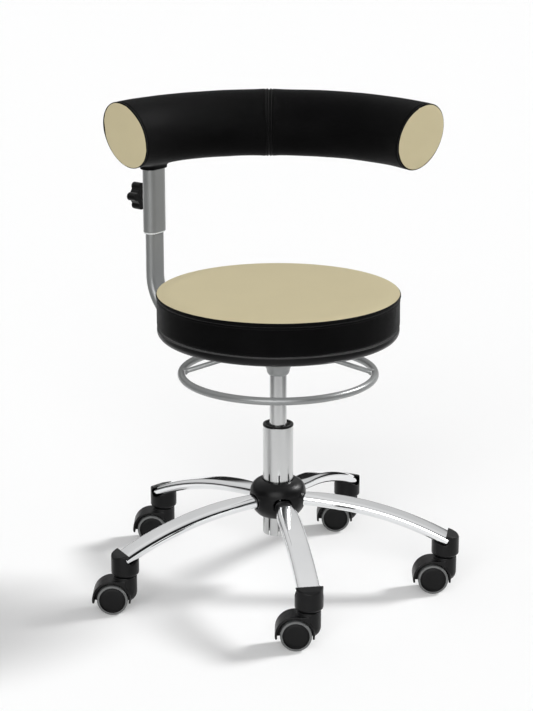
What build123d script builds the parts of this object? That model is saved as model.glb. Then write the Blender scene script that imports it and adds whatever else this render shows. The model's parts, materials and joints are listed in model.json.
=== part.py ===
from build123d import *
import os
from math import cos, radians, sin, sqrt

os.makedirs("parts", exist_ok=True)

# A swivel stool for a dental practice: five-star base on twin-wheel casters, gas lift,
# round upholstered seat, release ring under the seat, and a curved back roll on a
# one-sided post. Origin on the column's axis at floor level, +Z up, front towards -Y.

# ---- driving dimensions, mm ----
ARM_COUNT = 5
FIRST_ARM_ANGLE = -79.7          # first arm's direction from +X
CASTER_CIRCLE_R = 280.6          # column axis to caster stem

WHEEL_R = 25.0
WHEEL_WIDTH = 17.0
WHEEL_INNER_FACE = 5.2           # wheel's inner face to the caster's middle
CASTER_TRAIL = 20.2              # stem axis to wheel axle
TYRE_THICKNESS = 3.5
AXLE_R = 3.0
STEM_R = 5.5
RUNNING_GAP = 0.05               # radial clearance of shafts in bores
HOOD_TOP_Z = 61.5
HOOD_HALF_WIDTH = 20.0
WEB_HALF_WIDTH = 4.8

CAP_R = 22.7
CAP_BOTTOM_Z = 62.5
STEM_TOP_Z = 78.0
STEM_BOTTOM_Z = 46.0
STEM_COLLAR_R = 8.0
CAP_SOCKET_GAP = 0.15            # arm's outside to the cap's socket
COVER_OPENING_GAP = 1.6          # arm's outside to the hub cover

ARM_START_Z = 148.5              # arm's middle line at the hub
ARM_LEVEL_R = 41.0               # the arm runs level out to this radius
ARM_BEND_R = 535.0
ARM_WALL = 1.8
ARM_END_R = 289.0

COLUMN_R = 25.0
COLUMN_WALL = 1.5
COLUMN_BOTTOM_Z = 88.5
COLUMN_TOP_Z = 275.0
SLOT_COUNT = 9
SLOT_TOP_Z = 195.0
SLOT_WIDTH = 2.4
SLOT_START_ANGLE = -85.4
TUBE_FLOOR_Z = 96.0              # plate across the stand tube that carries the rod
TUBE_FLOOR_THICK = 5.0
BUSH_LENGTH = 70.0
BUSH_FLANGE = 4.0

CYLINDER_R = 14.0
CYLINDER_BOTTOM_Z = 190.0
TAPER_BOTTOM_Z = 363.0
CYLINDER_TOP_Z = 392.0
TAPER_TOP_R = 13.0
ROD_R = 5.0
PIN_R = 3.0

SEAT_R = 199.5
SEAT_TOP_Z = 503.0
PAN_R = 198.0
PAN_TOP_Z = 445.5
PAN_BOTTOM_Z = 430.0
PLATE_BOTTOM_Z = 427.0
PLATE_SIDE = 170.0
SCREW_SPREAD = 65.0

SOCKET_R = 30.0
SLOT_EDGE_Z = 409.1              # upper edge of the socket's slots, where the bar pivots
RING_R = 159.0
RING_TUBE_R = 6.25
RING_Z = 365.0
BAR_R = 4.0
BAR_Z = 405.0

POST_ANGLE = 142.5               # the post's direction from +X
POST_R = 264.6
POST_BEND_R = 80.0
POST_TUBE_Z = 413.0              # middle of the level tube under the seat
POST_TOP_Z = 688.0
TUBE_WIDE = 37.0
TUBE_DEEP = 18.0
SLEEVE_WIDE = 44.0
SLEEVE_DEEP = 25.6
SLEEVE_WALL = 2.2
SLEEVE_BOTTOM_Z = 566.5
SLEEVE_TOP_Z = 728.0
KNOB_Z = 624.0

ROLL_ARC_X = -13.5               # centre of the roll's arc
ROLL_ARC_Y = -50.0
ROLL_ARC_R = 290.0
ROLL_Z = 738.5
ROLL_MIDDLE = 88.8               # direction of the roll's middle from +X
ROLL_HALF_ANGLE = 57.2
ROLL_LONG_R = 59.0               # section's half-axes
ROLL_SHORT_R = 41.5
ROLL_LEAN = 29.6                 # the section's top leans away from the sitter
PANEL_SCALE = 0.975
PANEL_ANGLE = 0.4                # thickness of an end panel, as an angle of the arc
CORE_R = 15.0


def radial_plane(angle, x=0.0, y=0.0):
    """Upright plane through (x, y): local X points away along angle, local Y is up."""
    turn = radians(angle)
    away = (cos(turn), sin(turn), 0)
    return Plane(origin=(x, y, 0), x_dir=away, z_dir=(sin(turn), -cos(turn), 0))


def save(part, name):
    part.label = name
    export_step(part, "parts/" + name + ".step")


def arm_angle(index):
    return FIRST_ARM_ANGLE + index * 360.0 / ARM_COUNT


def stem_xy(index):
    turn = radians(arm_angle(index))
    return CASTER_CIRCLE_R * cos(turn), CASTER_CIRCLE_R * sin(turn)


# ---- five-star base ----
def arm_section_plane(angle, radius):
    """Plane across the arm at a radius: local X across the arm, local Y towards its top."""
    turn = radians(angle)
    slope = 0.0
    drop = 0.0
    if radius > ARM_LEVEL_R:
        rise = (radius - ARM_LEVEL_R) / ARM_BEND_R
        slope = rise
        drop = ARM_BEND_R * (1 - sqrt(1 - rise * rise))
    level = sqrt(1 - slope * slope)
    return Plane(
        origin=(radius * cos(turn), radius * sin(turn), ARM_START_Z - drop),
        x_dir=(-sin(turn), cos(turn), 0),
        z_dir=(level * cos(turn), level * sin(turn), -slope),
    )


# radius from the column, width, height and corner radius of the arm's tube
ARM_SECTIONS = [
    (29.0, 26.0, 20.0, 9.0),
    (45.0, 27.0, 20.0, 9.0),
    (75.0, 33.5, 18.5, 7.8),
    (110.0, 37.0, 17.2, 6.8),
    (200.0, 37.5, 17.0, 6.5),
    (ARM_END_R, 37.5, 17.0, 6.5),
]


def arm_solid(angle, grow):
    """Solid of the arm's outline made bigger by grow on every side, or smaller if negative."""
    with BuildPart() as solid:
        for radius, width, height, corner in ARM_SECTIONS:
            with BuildSketch(arm_section_plane(angle, radius)):
                RectangleRounded(width + 2 * grow, height + 2 * grow, corner + grow)
        loft()
    return solid.part


HUB_R = 31.0
HUB_BOTTOM_Z = 134.0
HUB_TOP_Z = 163.0

with BuildPart() as hub_core:
    with BuildSketch(Plane.XY.offset(HUB_BOTTOM_Z)):
        Circle(HUB_R)
        Circle(COLUMN_R, mode=Mode.SUBTRACT)
    extrude(amount=HUB_TOP_Z - HUB_BOTTOM_Z)
save(hub_core.part, "hub_core")

for index in range(ARM_COUNT):
    outside = arm_solid(arm_angle(index), 0.0)
    inside = arm_solid(arm_angle(index), -ARM_WALL)
    with BuildPart() as arm:
        add(outside)
        add(inside, mode=Mode.SUBTRACT)
        with BuildSketch(Plane.XY.offset(HUB_BOTTOM_Z - 10)):
            Circle(HUB_R)
        extrude(amount=HUB_TOP_Z - HUB_BOTTOM_Z + 20, mode=Mode.SUBTRACT)
    save(arm.part, "arm_" + str(index + 1))

cap_sockets = [arm_solid(arm_angle(index), CAP_SOCKET_GAP) for index in range(ARM_COUNT)]
cover_openings = [arm_solid(arm_angle(index), COVER_OPENING_GAP) for index in range(ARM_COUNT)]

CAP_BEVEL = 4.0
CAP_BLANK_TOP_Z = 118.0

with BuildPart() as arm_end_caps:
    for index in range(ARM_COUNT):
        stem_x, stem_y = stem_xy(index)
        with BuildSketch(radial_plane(arm_angle(index), stem_x, stem_y)):
            with BuildLine():
                Polyline(
                    (0, CAP_BOTTOM_Z),
                    (CAP_R - CAP_BEVEL, CAP_BOTTOM_Z),
                    (CAP_R, CAP_BOTTOM_Z + CAP_BEVEL),
                    (CAP_R, CAP_BLANK_TOP_Z),
                    (0, CAP_BLANK_TOP_Z),
                    close=True,
                )
            make_face()
        revolve(axis=Axis((stem_x, stem_y, 0), (0, 0, 1)))
        # the top slopes down outwards over the arm's end, and steps down under the arm inside
        with BuildSketch(radial_plane(arm_angle(index))):
            with BuildLine():
                Polyline(
                    (250, 101),
                    (277, 87.1),
                    (283.8, 101.8),
                    (298, 98),
                    (307, 92.8),
                    (313, 85.5),
                    (313, 130),
                    (250, 130),
                    close=True,
                )
            make_face()
        extrude(amount=30, both=True, mode=Mode.SUBTRACT)
    for index in range(ARM_COUNT):
        stem_x, stem_y = stem_xy(index)
        add(cap_sockets[index], mode=Mode.SUBTRACT)
        with BuildSketch(Plane.XY.offset(CAP_BOTTOM_Z - 1)):
            with Locations((stem_x, stem_y)):
                Circle(STEM_R)
        extrude(amount=STEM_TOP_Z - CAP_BOTTOM_Z + 1, mode=Mode.SUBTRACT)
save(arm_end_caps.part, "arm_end_caps")

COVER_INNER_R = COLUMN_R + 0.3
COVER_TOP_Z = 182.0
COVER_LIP_Z = 177.0
COVER_WIDEST_R = 46.5
COVER_WIDEST_Z = 160.0
COVER_BOTTOM_R = 32.0
COVER_BOTTOM_Z = 121.0
COVER_WALL = 3.0

with BuildPart() as hub_cover:
    with BuildSketch(Plane.XZ):
        with BuildLine():
            widest = (COVER_WIDEST_R, COVER_WIDEST_Z)
            widest_inside = (COVER_WIDEST_R - COVER_WALL, COVER_WIDEST_Z)
            foot = (COVER_BOTTOM_R, COVER_BOTTOM_Z)
            foot_inside = (COVER_BOTTOM_R - 1.5, COVER_BOTTOM_Z + COVER_WALL)
            Line((COVER_INNER_R, COVER_LIP_Z), (COVER_INNER_R, COVER_TOP_Z))
            ThreePointArc((COVER_INNER_R, COVER_TOP_Z), (40.5, 175.5), widest)
            ThreePointArc(widest, (44.2, 137), foot)
            Line(foot, foot_inside)
            ThreePointArc(foot_inside, (41.2, 138.5), widest_inside)
            ThreePointArc(widest_inside, (38, 172.5), (COVER_INNER_R, COVER_LIP_Z))
        make_face()
    revolve(axis=Axis.Z)
    for opening in cover_openings:
        add(opening, mode=Mode.SUBTRACT)
save(hub_cover.part, "hub_cover")

with BuildPart() as stand_tube:
    with BuildSketch(Plane.XY.offset(COLUMN_BOTTOM_Z)):
        Circle(COLUMN_R)
        Circle(COLUMN_R - COLUMN_WALL, mode=Mode.SUBTRACT)
    extrude(amount=COLUMN_TOP_Z - COLUMN_BOTTOM_Z)
    with BuildSketch(Plane.XY.offset(COLUMN_BOTTOM_Z)):
        for index in range(SLOT_COUNT):
            with Locations(Rot(0, 0, SLOT_START_ANGLE + index * 360 / SLOT_COUNT) * Pos(COLUMN_R, 0, 0)):
                Rectangle(8, SLOT_WIDTH)
    extrude(amount=SLOT_TOP_Z - COLUMN_BOTTOM_Z, mode=Mode.SUBTRACT)
    # the floor that carries the piston rod's bearing
    with BuildSketch(Plane.XY.offset(TUBE_FLOOR_Z)):
        Circle(COLUMN_R - COLUMN_WALL)
        Circle(ROD_R + RUNNING_GAP, mode=Mode.SUBTRACT)
    extrude(amount=TUBE_FLOOR_THICK)
save(stand_tube.part, "stand_tube")

with BuildPart() as guide_bush:
    with BuildSketch(Plane.XY.offset(COLUMN_TOP_Z - BUSH_LENGTH)):
        Circle(COLUMN_R - COLUMN_WALL)
    extrude(amount=BUSH_LENGTH)
    with BuildSketch(Plane.XY.offset(COLUMN_TOP_Z)):
        Circle(COLUMN_R + 0.4)
    extrude(amount=BUSH_FLANGE)
    fillet(guide_bush.faces().sort_by(Axis.Z)[-1].edges(), 1.5)
    with BuildSketch(Plane.XY.offset(COLUMN_TOP_Z - BUSH_LENGTH - 1)):
        Circle(CYLINDER_R + RUNNING_GAP)
    extrude(amount=BUSH_LENGTH + BUSH_FLANGE + 2, mode=Mode.SUBTRACT)
save(guide_bush.part, "guide_bush")

# two races and a ball cage between them: bottom, height, inner and outer radius
BEARING_RINGS = [
    (101.0, 2.0, 5.2, 12.0),
    (103.0, 3.5, 6.5, 11.5),
    (106.5, 2.0, 5.2, 12.0),
]

with BuildPart() as thrust_bearing:
    for bottom_z, height, inner_r, outer_r in BEARING_RINGS:
        with BuildSketch(Plane.XY.offset(bottom_z)):
            Circle(outer_r)
            Circle(inner_r, mode=Mode.SUBTRACT)
        extrude(amount=height)
save(thrust_bearing.part, "thrust_bearing")

with BuildPart() as caster_stems:
    for index in range(ARM_COUNT):
        stem_x, stem_y = stem_xy(index)
        with BuildSketch(Plane.XY.offset(STEM_BOTTOM_Z)):
            with Locations((stem_x, stem_y)):
                Circle(STEM_R)
        extrude(amount=STEM_TOP_Z - STEM_BOTTOM_Z)
        with BuildSketch(Plane.XY.offset(HOOD_TOP_Z + 0.1)):
            with Locations((stem_x, stem_y)):
                Circle(STEM_COLLAR_R)
        extrude(amount=CAP_BOTTOM_Z - HOOD_TOP_Z - 0.1)
save(caster_stems.part, "caster_stems")

# ---- casters ----
HOOD_X = -22.0                   # middle of the hood's round back
HOOD_Z = 24.5
HOOD_R = 31.5
HOOD_WALL = 3.6
HOOD_FOOT_Z = 19.0
NECK_R = 19.0
WHEEL_POCKET_R = WHEEL_R + 1.6


def caster_plane(index, offset=0.0):
    """Side plane of a caster: local X away from its trail, local Y up, offset along -Y."""
    stem_x, stem_y = stem_xy(index)
    return Plane(origin=(stem_x, stem_y - offset, 0), x_dir=(1, 0, 0), z_dir=(0, -1, 0))


def wheel_pockets(index):
    """The room for both wheels of a caster, to be cut from its hood."""
    with BuildPart() as pockets:
        for side in (1, -1):
            with BuildSketch(caster_plane(index, side * WEB_HALF_WIDTH)):
                with Locations((HOOD_X, HOOD_Z)):
                    Circle(HOOD_R - HOOD_WALL)
                with Locations((20, HOOD_Z)):
                    Rectangle(60, 80, mode=Mode.SUBTRACT)
                with Locations((-CASTER_TRAIL, WHEEL_R)):
                    Circle(WHEEL_POCKET_R)
                with Locations((-50, 2)):
                    Rectangle(70, 20)
                with Locations((10, 7)):
                    Rectangle(60, 22)
            extrude(amount=side * 40)
    return pockets.part


for index in range(ARM_COUNT):
    caster = "caster_" + str(index + 1)
    stem_x, stem_y = stem_xy(index)
    pockets = wheel_pockets(index)
    with BuildPart() as hood:
        with BuildSketch(caster_plane(index)):
            with Locations((HOOD_X, HOOD_Z)):
                Circle(HOOD_R)
            with Locations((HOOD_X / 2, HOOD_Z + HOOD_R - 9)):
                Rectangle(-HOOD_X + 2, 18)
            with Locations((-20, HOOD_FOOT_Z - 15)):
                Rectangle(80, 30, mode=Mode.SUBTRACT)
        extrude(amount=HOOD_HALF_WIDTH, both=True)
        # round neck under the arm's cap, rounded off at its foot
        with BuildSketch(caster_plane(index)):
            with BuildLine():
                Polyline((0, HOOD_TOP_Z), (NECK_R, HOOD_TOP_Z), (NECK_R, 34))
                ThreePointArc((NECK_R, 34), (16.5, 25.5), (8.5, 18.5))
                Line((8.5, 18.5), (0, 30))
                Line((0, 30), (0, HOOD_TOP_Z))
            make_face()
        revolve(axis=Axis((stem_x, stem_y, 0), (0, 0, 1)))
        add(pockets, mode=Mode.SUBTRACT)
        with BuildSketch(Plane.XY.offset(STEM_BOTTOM_Z - 0.5)):
            with Locations((stem_x, stem_y)):
                Circle(STEM_R + RUNNING_GAP)
        extrude(amount=30, mode=Mode.SUBTRACT)
        with BuildSketch(caster_plane(index)):
            with Locations((-CASTER_TRAIL, WHEEL_R)):
                Circle(AXLE_R)
        extrude(amount=30, both=True, mode=Mode.SUBTRACT)
    save(hood.part, caster + "_hood")

    with BuildPart() as axle:
        with BuildSketch(caster_plane(index)):
            with Locations((-CASTER_TRAIL, WHEEL_R)):
                Circle(AXLE_R)
        extrude(amount=18, both=True)
    save(axle.part, caster + "_axle")

    for side, side_name in [(1, "front"), (-1, "back")]:
        rim_r = WHEEL_R - TYRE_THICKNESS
        with BuildPart() as wheel:
            with BuildSketch(caster_plane(index, side * WHEEL_INNER_FACE)):
                with Locations((-CASTER_TRAIL, WHEEL_R)):
                    Circle(rim_r)
            extrude(amount=side * WHEEL_WIDTH)
            # shallow dish in the outer face
            with BuildSketch(caster_plane(index, side * (WHEEL_INNER_FACE + WHEEL_WIDTH - 1))):
                with Locations((-CASTER_TRAIL, WHEEL_R)):
                    Circle(rim_r - 1.5)
            extrude(amount=side * 2, mode=Mode.SUBTRACT)
            with BuildSketch(caster_plane(index, side * (WHEEL_INNER_FACE - 1))):
                with Locations((-CASTER_TRAIL, WHEEL_R)):
                    Circle(AXLE_R + RUNNING_GAP)
            extrude(amount=side * 14.5, mode=Mode.SUBTRACT)
        save(wheel.part, caster + "_wheel_" + side_name)

        with BuildPart() as tyre:
            with BuildSketch(caster_plane(index, side * (WHEEL_INNER_FACE + 0.5))):
                with Locations((-CASTER_TRAIL, WHEEL_R)):
                    Circle(WHEEL_R)
            extrude(amount=side * (WHEEL_WIDTH - 0.5))
            fillet(tyre.edges().filter_by(GeomType.CIRCLE), 2.0)
            with BuildSketch(caster_plane(index, side * WHEEL_INNER_FACE)):
                with Locations((-CASTER_TRAIL, WHEEL_R)):
                    Circle(rim_r)
            extrude(amount=side * (WHEEL_WIDTH + 1), mode=Mode.SUBTRACT)
        save(tyre.part, caster + "_tyre_" + side_name)

# ---- gas lift ----
PISTON_Z = 268.0
PISTON_R = 12.4
PISTON_HEIGHT = 15.0
ROD_BOTTOM_Z = 90.0
ROD_TOP_Z = 288.0
SHOULDER_Z = 108.5
SHOULDER_R = 10.0
CLIP_Z = 93.0
CLIP_THICK = 2.0
CLIP_R = 8.0
CYLINDER_BORE_R = 12.5
CYLINDER_FLOOR = 14.0            # guide and seal at the cylinder's lower end
VALVE_BOTTOM_Z = 366.0
VALVE_TOP_Z = 372.0
PIN_BOTTOM_Z = 376.0

with BuildPart() as piston_rod:
    with BuildSketch(Plane.XY.offset(ROD_BOTTOM_Z)):
        Circle(ROD_R)
    extrude(amount=ROD_TOP_Z - ROD_BOTTOM_Z)
    # shoulder that rests on the bearing
    with BuildSketch(Plane.XY.offset(SHOULDER_Z)):
        Circle(SHOULDER_R)
    extrude(amount=3)
    # groove for the clip
    with BuildSketch(Plane.XY.offset(CLIP_Z)):
        Circle(ROD_R + 1)
        Circle(ROD_R - 1, mode=Mode.SUBTRACT)
    extrude(amount=CLIP_THICK, mode=Mode.SUBTRACT)
save(piston_rod.part, "piston_rod")

with BuildPart() as rod_piston:
    with BuildSketch(Plane.XY.offset(PISTON_Z)):
        Circle(PISTON_R)
        Circle(ROD_R, mode=Mode.SUBTRACT)
    extrude(amount=PISTON_HEIGHT)
save(rod_piston.part, "rod_piston")

with BuildPart() as rod_clip:
    with BuildSketch(Plane.XY.offset(CLIP_Z)):
        Circle(CLIP_R)
        Circle(ROD_R - 1, mode=Mode.SUBTRACT)
        with Locations((6, 0)):
            Rectangle(12, 6, mode=Mode.SUBTRACT)
    extrude(amount=CLIP_THICK)
save(rod_clip.part, "rod_clip")

with BuildPart() as gas_cylinder:
    with BuildSketch(Plane.XZ):
        with BuildLine():
            Polyline(
                (ROD_R + RUNNING_GAP, CYLINDER_BOTTOM_Z),
                (CYLINDER_R, CYLINDER_BOTTOM_Z),
                (CYLINDER_R, TAPER_BOTTOM_Z),
                (TAPER_TOP_R, CYLINDER_TOP_Z),
                (PIN_R + RUNNING_GAP, CYLINDER_TOP_Z),
                (PIN_R + RUNNING_GAP, VALVE_TOP_Z),
                (0, VALVE_TOP_Z),
                (0, VALVE_BOTTOM_Z),
                (CYLINDER_BORE_R, VALVE_BOTTOM_Z),
                (CYLINDER_BORE_R, CYLINDER_BOTTOM_Z + CYLINDER_FLOOR),
                (ROD_R + RUNNING_GAP, CYLINDER_BOTTOM_Z + CYLINDER_FLOOR),
                close=True,
            )
        make_face()
    revolve(axis=Axis.Z)
save(gas_cylinder.part, "gas_cylinder")

with BuildPart() as release_pin:
    with BuildSketch(Plane.XY.offset(PIN_BOTTOM_Z)):
        Circle(PIN_R)
    extrude(amount=BAR_Z - BAR_R - 0.15 - PIN_BOTTOM_Z)
    chamfer(release_pin.edges().sort_by(Axis.Z)[-1], 1.8)
save(release_pin.part, "release_pin")

# ---- seat ----
SOCKET_FOOT_R = 16.0
SOCKET_INNER_R = 23.0
SOCKET_ROOF_Z = 423.0
SHOULDER_PLATE_R = SOCKET_R + 5  # the swing plate runs under this shoulder
SHOULDER_PLATE_Z = 420.1
PLATE_CORNER_R = 18.0
SCREW_R = 3.0
SCREW_HEAD_R = 5.5
SCREW_HEAD_HEIGHT = 3.0
SCREW_DEPTH = 7.0                # how far a screw reaches into the seat pan
SPREAD = 2 * SCREW_SPREAD

with BuildPart() as seat_plate:
    # round socket on the gas cylinder's taper, with the release bar's room above it
    with BuildSketch(Plane.XZ):
        with BuildLine():
            Polyline(
                (CYLINDER_R, TAPER_BOTTOM_Z),
                (SOCKET_FOOT_R, TAPER_BOTTOM_Z),
                (18.5, 367),
                (19.5, 373),
                (23.5, 381),
                (SOCKET_R, 389.5),
                (SOCKET_R, SHOULDER_PLATE_Z),
                (SHOULDER_PLATE_R, SHOULDER_PLATE_Z),
                (SHOULDER_PLATE_R, PLATE_BOTTOM_Z),
                (0, PLATE_BOTTOM_Z),
                (0, SOCKET_ROOF_Z),
                (SOCKET_INNER_R, SOCKET_ROOF_Z),
                (SOCKET_INNER_R, CYLINDER_TOP_Z),
                (TAPER_TOP_R, CYLINDER_TOP_Z),
                close=True,
            )
        make_face()
    revolve(axis=Axis.Z)
    with BuildSketch(Plane.XY.offset(PLATE_BOTTOM_Z)):
        RectangleRounded(PLATE_SIDE, PLATE_SIDE, PLATE_CORNER_R)
        with GridLocations(SPREAD, SPREAD, 2, 2):
            Circle(SCREW_R, mode=Mode.SUBTRACT)
    extrude(amount=PAN_BOTTOM_Z - PLATE_BOTTOM_Z)
    # slots for the release bar
    with BuildSketch(Plane.YZ):
        with Locations((0, (SLOT_EDGE_Z + CYLINDER_TOP_Z) / 2)):
            Rectangle(2 * BAR_R + 0.6, SLOT_EDGE_Z - CYLINDER_TOP_Z)
    extrude(amount=50, both=True, mode=Mode.SUBTRACT)
save(seat_plate.part, "seat_plate")

RETAINER_Z = 411.0
RETAINER_R = 37.0
RETAINER_THICK = 3.9

with BuildPart() as swing_retainer:
    with BuildSketch(Plane.XY.offset(RETAINER_Z)):
        Circle(RETAINER_R)
        Circle(SOCKET_R, mode=Mode.SUBTRACT)
    extrude(amount=RETAINER_THICK)
save(swing_retainer.part, "swing_retainer")

PAN_ROUNDING = 14.0
PAN_EDGE = 4.0

with BuildPart() as seat_pan:
    with BuildSketch(Plane.XZ):
        with BuildLine():
            Polyline(
                (0, PAN_BOTTOM_Z),
                (PAN_R - PAN_ROUNDING, PAN_BOTTOM_Z),
            )
            ThreePointArc(
                (PAN_R - PAN_ROUNDING, PAN_BOTTOM_Z),
                (PAN_R - 4.1, PAN_BOTTOM_Z + 3.4),
                (PAN_R, PAN_TOP_Z - PAN_EDGE),
            )
            Polyline(
                (PAN_R, PAN_TOP_Z - PAN_EDGE),
                (PAN_R, PAN_TOP_Z),
                (0, PAN_TOP_Z),
                (0, PAN_BOTTOM_Z),
            )
        make_face()
    revolve(axis=Axis.Z)
    with BuildSketch(Plane.XY.offset(PAN_BOTTOM_Z)):
        with GridLocations(SPREAD, SPREAD, 2, 2):
            Circle(SCREW_R)
    extrude(amount=SCREW_DEPTH, mode=Mode.SUBTRACT)
save(seat_pan.part, "seat_pan")

with BuildPart() as seat_screws:
    with BuildSketch(Plane.XY.offset(PLATE_BOTTOM_Z)):
        with GridLocations(SPREAD, SPREAD, 2, 2):
            Circle(SCREW_R)
    extrude(amount=PAN_BOTTOM_Z + SCREW_DEPTH - PLATE_BOTTOM_Z)
    with BuildSketch(Plane.XY.offset(PLATE_BOTTOM_Z - SCREW_HEAD_HEIGHT)):
        with GridLocations(SPREAD, SPREAD, 2, 2):
            Circle(SCREW_HEAD_R)
            RegularPolygon(2, 6, mode=Mode.SUBTRACT)
    extrude(amount=SCREW_HEAD_HEIGHT)
save(seat_screws.part, "seat_screws")

with BuildPart() as seat_cushion:
    with BuildSketch(Plane.XY.offset(PAN_TOP_Z)):
        Circle(SEAT_R)
    extrude(amount=SEAT_TOP_Z - PAN_TOP_Z)
    fillet(seat_cushion.faces().sort_by(Axis.Z)[-1].edges(), 5)
    fillet(seat_cushion.faces().sort_by(Axis.Z)[0].edges(), 4)
save(seat_cushion.part, "seat_cushion")

# ---- release ring: lifting a side tips it on the far slot's edge and presses the pin ----
with BuildPart() as release_ring:
    with BuildSketch(Plane.XZ):
        with Locations((RING_R, RING_Z)):
            Circle(RING_TUBE_R)
    revolve(axis=Axis.Z)
    with BuildLine(Plane.XZ) as bar_line:
        FilletPolyline((-RING_R, RING_Z), (-36, BAR_Z), (36, BAR_Z), (RING_R, RING_Z), radius=14)
    with BuildSketch(Plane(origin=bar_line.line @ 0, z_dir=bar_line.line % 0)):
        Circle(BAR_R)
    sweep(path=bar_line.line)
save(release_ring.part, "release_ring")

# ---- back support ----
POST_TURN = radians(POST_ANGLE)
POST_OUT = Vector(cos(POST_TURN), sin(POST_TURN), 0)
POST_ACROSS = Vector(-sin(POST_TURN), cos(POST_TURN), 0)
POST_XY = POST_OUT * POST_R


def post_plane(z):
    """Level plane on the post's axis: local X across the flat tube's wide side."""
    return Plane(origin=POST_XY + Vector(0, 0, z), x_dir=POST_ACROSS, z_dir=(0, 0, 1))


def flat_oval(width, depth):
    RectangleRounded(width, depth, depth / 2 - 0.1)


SWING_PLATE_Z = 415.0
SWING_PLATE_THICK = 5.0
SWING_EYE_R = 44.0
TUBE_START_R = 80.0
TUBE_WALL = 2.0
LEVEL_TUBE_START = POST_OUT * TUBE_START_R + Vector(0, 0, POST_TUBE_Z)

with BuildPart() as back_tube:
    with BuildLine(radial_plane(POST_ANGLE)) as tube_line:
        FilletPolyline(
            (TUBE_START_R, POST_TUBE_Z),
            (POST_R, POST_TUBE_Z),
            (POST_R, POST_TOP_Z),
            radius=POST_BEND_R,
        )
    with BuildSketch(Plane(origin=LEVEL_TUBE_START, x_dir=POST_ACROSS, z_dir=POST_OUT)):
        flat_oval(TUBE_WIDE, TUBE_DEEP)
        RectangleRounded(
            TUBE_WIDE - 2 * TUBE_WALL,
            TUBE_DEEP - 2 * TUBE_WALL,
            TUBE_DEEP / 2 - TUBE_WALL - 0.2,
            mode=Mode.SUBTRACT,
        )
    sweep(path=tube_line.line)
    # swing plate: an eye round the socket and a tongue into the tube
    with BuildSketch(Plane(origin=(0, 0, SWING_PLATE_Z), x_dir=POST_OUT, z_dir=(0, 0, 1))):
        Circle(SWING_EYE_R)
        with Locations((55, 0)):
            Rectangle(100, 30)
        Circle(SOCKET_R + 0.1, mode=Mode.SUBTRACT)
    extrude(amount=SWING_PLATE_THICK)
save(back_tube.part, "back_tube")

BUSH_TOP_Z = 605.0
BUSH_LIP = 2.0
BOSS_LENGTH = 6.0
BOSS_R = 9.0
STUD_R = 4.0
KNOB_ORIGIN = POST_XY + Vector(0, 0, KNOB_Z)

with BuildPart() as back_sleeve:
    with BuildSketch(post_plane(SLEEVE_BOTTOM_Z)):
        flat_oval(SLEEVE_WIDE, SLEEVE_DEEP)
    extrude(amount=SLEEVE_TOP_Z - SLEEVE_BOTTOM_Z)
    # boss for the knob's stud
    with BuildSketch(Plane(origin=KNOB_ORIGIN, x_dir=POST_ACROSS, z_dir=POST_OUT)):
        Circle(BOSS_R)
    extrude(amount=SLEEVE_DEEP / 2 + BOSS_LENGTH)
    with BuildSketch(post_plane(SLEEVE_BOTTOM_Z)):
        flat_oval(SLEEVE_WIDE - 2 * SLEEVE_WALL, SLEEVE_DEEP - 2 * SLEEVE_WALL)
    extrude(amount=SLEEVE_TOP_Z - SLEEVE_BOTTOM_Z, mode=Mode.SUBTRACT)
    with BuildSketch(Plane(origin=KNOB_ORIGIN, x_dir=POST_ACROSS, z_dir=POST_OUT)):
        Circle(STUD_R + RUNNING_GAP)
    extrude(amount=40, mode=Mode.SUBTRACT)
save(back_sleeve.part, "back_sleeve")

with BuildPart() as sleeve_bush:
    with BuildSketch(post_plane(SLEEVE_BOTTOM_Z)):
        flat_oval(SLEEVE_WIDE - 2 * SLEEVE_WALL, SLEEVE_DEEP - 2 * SLEEVE_WALL)
    extrude(amount=BUSH_TOP_Z - SLEEVE_BOTTOM_Z)
    with BuildSketch(post_plane(SLEEVE_BOTTOM_Z - BUSH_LIP)):
        flat_oval(SLEEVE_WIDE - 2.5, SLEEVE_DEEP - 2.5)
    extrude(amount=BUSH_LIP)
    with BuildSketch(post_plane(SLEEVE_BOTTOM_Z - BUSH_LIP)):
        RectangleRounded(TUBE_WIDE + 0.2, TUBE_DEEP + 0.2, TUBE_DEEP / 2 - 0.05)
    extrude(amount=BUSH_TOP_Z - SLEEVE_BOTTOM_Z + BUSH_LIP, mode=Mode.SUBTRACT)
save(sleeve_bush.part, "sleeve_bush")

KNOB_FACE = SLEEVE_DEEP / 2 + BOSS_LENGTH + 1.5
KNOB_NECK_R = 10.0
KNOB_BODY_R = 16.5
KNOB_LOBE_R = 7.0
KNOB_LOBE_CIRCLE_R = 17.0
KNOB_THICK = 19.0


def knob_plane(distance):
    """Plane across the knob's stud, at a distance from the post's axis."""
    return Plane(origin=KNOB_ORIGIN + POST_OUT * distance, x_dir=POST_ACROSS, z_dir=POST_OUT)


with BuildPart() as clamp_knob:
    with BuildSketch(knob_plane(TUBE_DEEP / 2 + 0.2)):
        Circle(STUD_R)
    extrude(amount=30)
    with BuildSketch(knob_plane(KNOB_FACE)):
        Circle(KNOB_NECK_R)
    extrude(amount=4)
    with BuildSketch(knob_plane(KNOB_FACE + 2)):
        Circle(KNOB_BODY_R)
        with PolarLocations(KNOB_LOBE_CIRCLE_R, 5):
            Circle(KNOB_LOBE_R)
    extrude(amount=KNOB_THICK)
    fillet(clamp_knob.faces().filter_by(GeomType.PLANE).sort_by(SortBy.AREA)[-1].edges(), 2)
save(clamp_knob.part, "clamp_knob")

ROLL_AXIS = Axis((ROLL_ARC_X, ROLL_ARC_Y, 0), (0, 0, 1))
COLLAR_BOTTOM_Z = 675.0
COLLAR_TOP_Z = 732.0
COLLAR_WALL = 3.0
CORE_HALF_ANGLE = 48.0


def roll_plane(angle):
    """Plane across the roll: local X points out of the arc, local Y up."""
    return radial_plane(angle, ROLL_ARC_X, ROLL_ARC_Y)


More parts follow.
